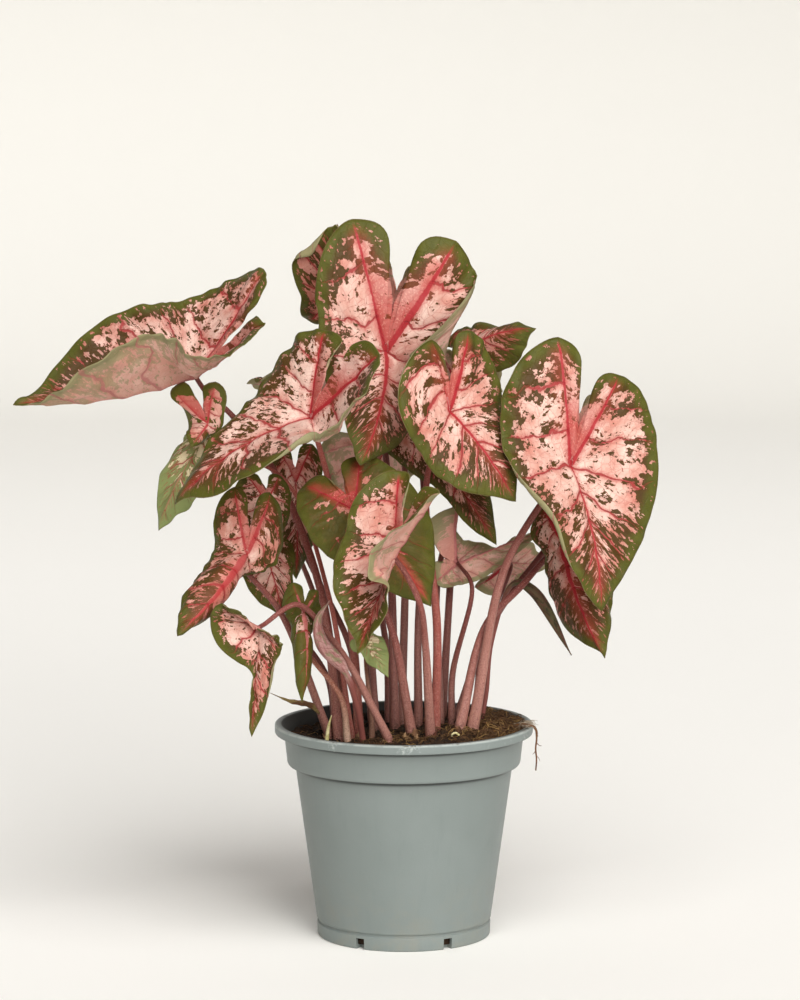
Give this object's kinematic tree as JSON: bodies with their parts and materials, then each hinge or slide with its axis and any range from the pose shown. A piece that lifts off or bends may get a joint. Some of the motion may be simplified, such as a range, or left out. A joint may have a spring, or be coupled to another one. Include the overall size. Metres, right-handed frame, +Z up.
{
  "type": "potted caladium",
  "caption": "Caladium with broad arrow-shaped variegated leaves on bare stalks, growing from soil in a round tapered nursery pot.",
  "frame": {"origin": "centre of the pot's underside", "axes": "+Z up along the pot's axis, +Y to the back of the plant, +X to the right seen from the front"},
  "size_m": [0.3441, 0.2467, 0.3883],
  "materials": {
    "pot": "satin moulded grey plastic",
    "soil": "rough moist peat",
    "tuber": "rough brown skin",
    "blade": "soft matte leaf, green with pink",
    "stalk": "dusty mauve, smooth",
    "rolled_pink": "soft matte young leaf",
    "rolled_dark": "soft matte young leaf"
  },
  "bodies": {
    "root": {"pot": "pot", "soil": "soil", "tuber_left": "tuber", "tuber_right": "tuber", "rolled_left": "rolled_pink", "rolled_right": "rolled_dark", "far_left_blade": "blade", "small_left_blade": "blade", "pale_left_blade": "blade", "broad_left_blade": "blade", "top_blade": "blade", "top_left_blade": "blade", "centre_right_blade": "blade", "upper_right_blade": "blade", "broad_right_blade": "blade", "lower_right_blade": "blade", "front_blade": "blade", "front_heart_blade": "blade", "front_small_blade": "blade", "lower_left_blade": "blade", "hanging_left_blade": "blade", "narrow_left_blade": "blade", "inner_left_blade": "blade", "centre_blade": "blade", "folded_right_blade": "blade", "curled_right_blade": "blade", "shaded_left_blade": "blade", "shaded_inner_blade": "blade", "back_top_blade": "blade", "back_centre_blade": "blade", "back_right_blade": "blade", "back_left_blade": "blade", "back_low_blade": "blade", "far_left_stalk": "stalk", "small_left_stalk": "stalk", "pale_left_stalk": "stalk", "broad_left_stalk": "stalk", "top_stalk": "stalk", "top_left_stalk": "stalk", "centre_right_stalk": "stalk", "upper_right_stalk": "stalk", "broad_right_stalk": "stalk", "lower_right_stalk": "stalk", "front_stalk": "stalk", "front_heart_stalk": "stalk", "front_small_stalk": "stalk", "lower_left_stalk": "stalk", "hanging_left_stalk": "stalk", "narrow_left_stalk": "stalk", "inner_left_stalk": "stalk", "centre_stalk": "stalk", "folded_right_stalk": "stalk", "curled_right_stalk": "stalk", "shaded_left_stalk": "stalk", "shaded_inner_stalk": "stalk", "back_top_stalk": "stalk", "back_centre_stalk": "stalk", "back_right_stalk": "stalk", "back_left_stalk": "stalk", "back_low_stalk": "stalk"}
  },
  "joints": []
}
